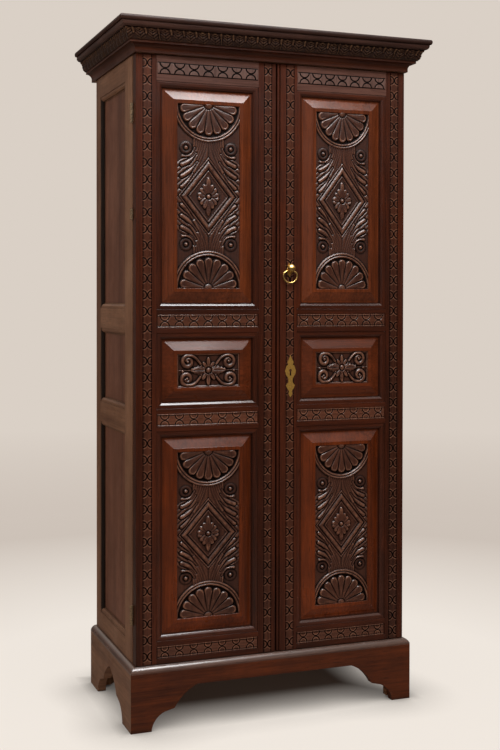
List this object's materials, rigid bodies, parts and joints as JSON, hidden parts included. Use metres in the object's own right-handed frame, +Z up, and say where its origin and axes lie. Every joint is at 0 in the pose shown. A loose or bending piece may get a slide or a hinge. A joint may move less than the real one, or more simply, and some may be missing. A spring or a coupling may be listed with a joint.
{
  "type": "trastero cabinet",
  "caption": "Tall carved hardwood cupboard with paired framed doors, a moulded cornice, a bracket-foot plinth and brass fittings, for storing linen or dishes.",
  "frame": {"origin": "on the floor, under the middle of the whole cabinet's box", "axes": "+X to the cabinet's right as seen from the front, +Y from the doors to the back, +Z up"},
  "size_m": [0.965, 0.5774, 2.002],
  "materials": {
    "frame_wood": "waxed dark red-brown hardwood",
    "panel_wood": "waxed dark red-brown hardwood, carved",
    "side_wood": "waxed brown hardwood",
    "moulding_wood": "waxed dark brown hardwood",
    "plain_wood": "plain oiled softwood inside",
    "bright_brass": "old rubbed brass",
    "hinge_brass": "dull brass",
    "lock_iron": "dark iron"
  },
  "bodies": {
    "case": {"plinth_front": "moulding_wood", "plinth_right": "moulding_wood", "plinth_left": "moulding_wood", "plinth_back": "moulding_wood", "glue_blocks": "plain_wood", "base_moulding": "moulding_wood", "bottom_board": "plain_wood", "top_board": "plain_wood", "front_top_rail": "plain_wood", "back_boards": "plain_wood", "shelves": "plain_wood", "shelf_bearers": "plain_wood", "cornice_frame": "plain_wood", "cornice_cove": "moulding_wood", "cornice_leaf_band": "moulding_wood", "cornice_roll": "moulding_wood", "cornice_top_board": "moulding_wood", "right_hinge_case_leaves": "hinge_brass", "left_hinge_case_leaves": "hinge_brass", "right_side_front_stile": "side_wood", "left_side_front_stile": "side_wood", "right_side_back_stile": "side_wood", "left_side_back_stile": "side_wood", "right_side_rails": "side_wood", "left_side_rails": "side_wood", "right_side_panels": "side_wood", "left_side_panels": "side_wood"},
    "left_door": {"left_door_hinge_stile": "frame_wood", "left_door_meeting_stile": "frame_wood", "left_door_bottom_rail": "frame_wood", "left_door_lower_rail": "frame_wood", "left_door_upper_rail": "frame_wood", "left_door_top_rail": "frame_wood", "left_door_lower_panel": "panel_wood", "left_door_middle_panel": "panel_wood", "left_door_upper_panel": "panel_wood", "left_hinge_door_leaves": "hinge_brass", "lock_keeper": "lock_iron", "bolt_plates": "lock_iron"},
    "right_door": {"right_door_hinge_stile": "frame_wood", "right_door_meeting_stile": "frame_wood", "right_door_closing_bead": "frame_wood", "right_door_bottom_rail": "frame_wood", "right_door_lower_rail": "frame_wood", "right_door_upper_rail": "frame_wood", "right_door_top_rail": "frame_wood", "right_door_lower_panel": "panel_wood", "right_door_middle_panel": "panel_wood", "right_door_upper_panel": "panel_wood", "right_hinge_door_leaves": "hinge_brass", "lock_case": "lock_iron", "escutcheon": "bright_brass", "pull_backplate": "bright_brass", "pull_knob": "bright_brass"},
    "pull_ring": {"pull_ring": "bright_brass"},
    "lock_bolt": {"lock_bolt": "lock_iron"},
    "upper_bolt": {"upper_bolt": "lock_iron"},
    "lower_bolt": {"lower_bolt": "lock_iron"}
  },
  "joints": [
    {"name": "left_door_hinge", "type": "hinge", "parent": "case", "child": "left_door", "pos_m": [-0.4264, -0.19225, 1.4615], "axis": [0, 0, -1], "range_deg": [0, 180]},
    {"name": "right_door_hinge", "type": "hinge", "parent": "case", "child": "right_door", "pos_m": [0.4264, -0.19225, 1.4615], "axis": [0, 0, 1], "range_deg": [0, 180]},
    {"name": "ring_swing", "type": "hinge", "parent": "right_door", "child": "pull_ring", "pos_m": [0.0445, -0.22925, 1.3035], "axis": [-1, 0, 0], "range_deg": [0, 150]},
    {"name": "lock_throw", "type": "slide", "parent": "right_door", "child": "lock_bolt", "axis": [-1, 0, 0], "range_m": [0, 0.014]},
    {"name": "upper_bolt_slide", "type": "slide", "parent": "left_door", "child": "upper_bolt", "axis": [0, 0, 1], "range_m": [0, 0.018]},
    {"name": "lower_bolt_slide", "type": "slide", "parent": "left_door", "child": "lower_bolt", "axis": [0, 0, -1], "range_m": [0, 0.014]}
  ]
}
